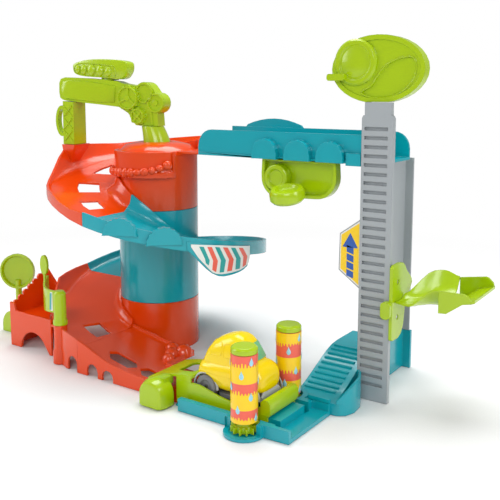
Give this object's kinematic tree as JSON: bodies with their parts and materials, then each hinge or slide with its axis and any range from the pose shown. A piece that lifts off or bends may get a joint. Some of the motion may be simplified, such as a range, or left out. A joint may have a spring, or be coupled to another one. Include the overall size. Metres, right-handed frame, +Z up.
{
  "type": "toy garage with spiral road, lift and car wash",
  "caption": "Toddler toy garage: spiral road round a tower, bridge, vertical lift with sliding tray, crane arch, swing gate, and a car wash with geared rollers and a toy car",
  "frame": {"origin": "on the floor at the spiral tower's axis, on the flat underside of the tower's foot ribs", "axes": "+X along the bridge and the wash lane towards the lift, +Y away from the front, +Z up"},
  "size_m": [0.6158, 0.3205, 0.378],
  "materials": {
    "orange": "orange-red moulding",
    "teal": "teal moulding",
    "green": "lime green moulding",
    "grey": "light grey moulding",
    "yellow": "yellow moulding",
    "coral": "drum with a printed sleeve",
    "tyre_grey": "grey moulding",
    "white": "sticker on a moulded plate",
    "steel": "plain steel"
  },
  "bodies": {
    "garage": {"tower_base_shell": "orange", "tower_top_shell": "orange", "scalloped_front_panel": "orange", "upper_deck": "orange", "lower_deck": "orange", "run_out_road": "orange", "exit_platform": "orange", "tower_middle_shell": "teal", "middle_deck": "teal", "bridge": "teal", "lift_column_boot": "teal", "wash_base": "teal", "tray_wall": "teal", "lift_ramp": "teal", "bridge_plaque": "green", "plaque_tyre_upright": "green", "plaque_tyre_lying": "green", "lift_sign": "green", "crane_post": "green", "crane_boom": "green", "crane_leg": "green", "lamp_bar": "green", "round_sign_foot": "green", "round_sign_dish": "green", "lift_rack_plate": "grey", "lift_column": "grey", "arrow_panel": "white", "roller_spindle_front": "steel", "roller_spindle_rear": "steel"},
    "lift_carriage": {"carriage_plate": "green", "carriage_scoop": "green", "carriage_tray": "green", "carriage_screw_lower": "steel", "carriage_screw_upper": "steel"},
    "gate": {"gate_post": "green", "gate_panel": "green"},
    "push_frame": {"push_frame": "green", "rack_front": "green", "rack_rear": "green"},
    "roller_front": {"roller_gear_front": "green", "roller_drum_front": "coral", "roller_cap_front": "green"},
    "roller_rear": {"roller_gear_rear": "green", "roller_drum_rear": "coral", "roller_cap_rear": "green"},
    "car": {"car_body": "yellow", "car_chassis": "tyre_grey", "car_bumper": "tyre_grey"},
    "car_axle_front": {"car_axle_front": "steel", "car_wheel_front_left": "tyre_grey", "car_wheel_front_right": "tyre_grey"},
    "car_axle_rear": {"car_axle_rear": "steel", "car_wheel_rear_left": "tyre_grey", "car_wheel_rear_right": "tyre_grey"}
  },
  "joints": [
    {"name": "lift_slide", "type": "slide", "parent": "garage", "child": "lift_carriage", "axis": [0, 0, 1], "range_m": [-0.06, 0.14]},
    {"name": "gate_swing", "type": "hinge", "parent": "garage", "child": "gate", "pos_m": [-0.04196, -0.13147, 0.047], "axis": [0, 0, 1], "range_deg": [-40, 70]},
    {"name": "frame_slide", "type": "slide", "parent": "garage", "child": "push_frame", "axis": [1, 0, 0], "range_m": [-0.015, 0.01]},
    {"name": "roller_front_spin", "type": "hinge", "parent": "garage", "child": "roller_front", "pos_m": [0.2455, -0.162, 0], "axis": [0, 0, 1], "range_deg": [-48, 72]},
    {"name": "roller_rear_spin", "type": "hinge", "parent": "garage", "child": "roller_rear", "pos_m": [0.2455, -0.082, 0], "axis": [0, 0, 1], "range_deg": [-72, 48]},
    {"name": "car_lift_off", "type": "slide", "parent": "push_frame", "child": "car", "axis": [0, 0, 1], "range_m": [0, 0.05]},
    {"name": "car_front_wheels", "type": "hinge", "parent": "car", "child": "car_axle_front", "pos_m": [0.235, -0.122, 0.0258], "axis": [0, 1, 0], "continuous": true},
    {"name": "car_rear_wheels", "type": "hinge", "parent": "car", "child": "car_axle_rear", "pos_m": [0.185, -0.122, 0.0258], "axis": [0, 1, 0], "continuous": true}
  ],
  "couplings": [
    {"joint": "roller_front_spin", "follows": "frame_slide", "rad_per_m": -83.333},
    {"joint": "roller_rear_spin", "follows": "frame_slide", "rad_per_m": 83.333}
  ]
}
